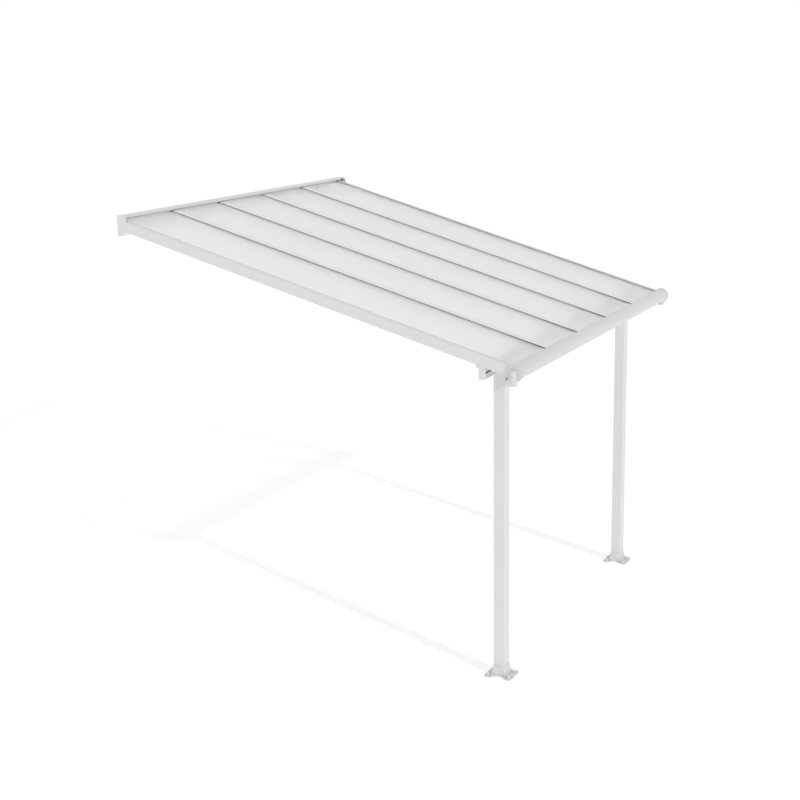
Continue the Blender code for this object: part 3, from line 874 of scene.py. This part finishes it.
def make_light():
    """A white surround that lights the object softly, a key lamp and a wide soft one."""
    world = bpy.data.worlds.new("studio")
    bpy.context.scene.world = world
    world.use_nodes = True
    world.cycles.sampling_method = "NONE"
    tree = world.node_tree
    tree.nodes.clear()
    surrounds = []
    for strength in (WORLD_LIGHT, 1.0):
        surround = tree.nodes.new("ShaderNodeBackground")
        surround.inputs["Color"].default_value = (1.0, 1.0, 1.0, 1.0)
        surround.inputs["Strength"].default_value = strength
        surrounds.append(surround)
    output = tree.nodes.new("ShaderNodeOutputWorld")
    choose_surface(tree, seen_directly(tree), *surrounds, output)

    add_lamp("key", KEY_LIGHT, KEY_SIZE, KEY_WAY)
    add_lamp("soft", SOFT_LIGHT, SOFT_SIZE, SOFT_WAY)


def make_floor():
    """A plain floor that reads white to the eye and takes the object's shadow."""
    mesh = bmesh.new()
    bmesh.ops.create_grid(mesh, x_segments=8, y_segments=8, size=FLOOR_REACH)
    data = bpy.data.meshes.new("studio_floor")
    mesh.to_mesh(data)
    mesh.free()
    floor = add_object("studio_floor", data)
    floor.location.z = GROUND_Z - FLOOR_GAP

    material = bpy.data.materials.new("pale_floor")
    material.use_nodes = True
    material.cycles.emission_sampling = "NONE"
    tree = material.node_tree
    tree.nodes.clear()
    surfaces = []
    for glow in (FLOOR_LIGHT, FLOOR_SEEN_LIGHT):
        plain = tree.nodes.new("ShaderNodeBsdfDiffuse")
        plain.inputs["Color"].default_value = (*grey(FLOOR_TONE), 1.0)
        light = tree.nodes.new("ShaderNodeEmission")
        light.inputs["Strength"].default_value = glow
        surface = tree.nodes.new("ShaderNodeAddShader")
        tree.links.new(plain.outputs[0], surface.inputs[0])
        tree.links.new(light.outputs[0], surface.inputs[1])
        surfaces.append(surface)
    output = tree.nodes.new("ShaderNodeOutputMaterial")
    choose_surface(tree, seen_directly(tree), *surfaces, output)
    data.materials.append(material)


coat = powder_coat("white_powder_coat", COAT_TONE)
# A lighter copy of the coat for the inner caps, as painted light
cap_painted_light_coat = powder_coat("cap_coat_painted_light", CAP_PAINTED_LIGHT_TONE)
# A darker copy of the coat for the side caps, as painted shade
side_cap_painted_shade_coat = powder_coat("side_powder_coat", SIDE_CAP_PAINTED_SHADE_TONE)
# A darker copy of the coat for the support beam, as painted shade
beam_painted_shade_coat = powder_coat("beam_coat_painted_shade", BEAM_PAINTED_SHADE_TONE)
# A darker copy of the coat for the gutter and its end caps, as painted shade
gutter_painted_shade_coat = powder_coat("gutter_coat_painted_shade", GUTTER_PAINTED_SHADE_TONE)
moulding = moulded_plastic("white_moulding", MOULDING_TONE)
# The black rubber also colours the seal pieces that stand in for shade, and the grey one the post
# bolts, as painted shade
black_rubber_and_painted_shade = matt_rubber("black_seal_rubber_and_painted_shade", BLACK_RUBBER_TONE)
grey_rubber_and_painted_shade = matt_rubber("grey_seal_rubber_and_painted_shade", GREY_RUBBER_TONE)
# The wall seal's black upper edge is painted shade
wall_seal_painted_shade = pale_seal_with_painted_shade("wall_seal_rubber_painted_shade", PALE_SEAL_TOP_Z, BLACK_RUBBER_TONE, PALE_SEAL_TONE)
zinc = zinc_plate("zinc_plate")
opal_skin = twin_wall_skin("opal_skin", clarity=0.66, tone=SHEET_TONE, haze=0.39, lamp_share=0.60)
clear_skin = twin_wall_skin("clear_skin", clarity=1.0, tone=SHEET_TONE, haze=0.20, lamp_share=0.95)

dress_frame()
make_panels()
make_cap_screws()
make_ledge_screws()
make_saddle_screws()
make_gutter_details()
make_foot_details()
make_post_bolts_and_shade()
make_corner_seals_and_shade()
make_rail_end_seals_and_shade()
make_beam_groove_seal_and_shade()
make_rail_plugs()
make_camera()
make_light()
make_floor()
bpy.context.scene.view_settings.view_transform = "Standard"
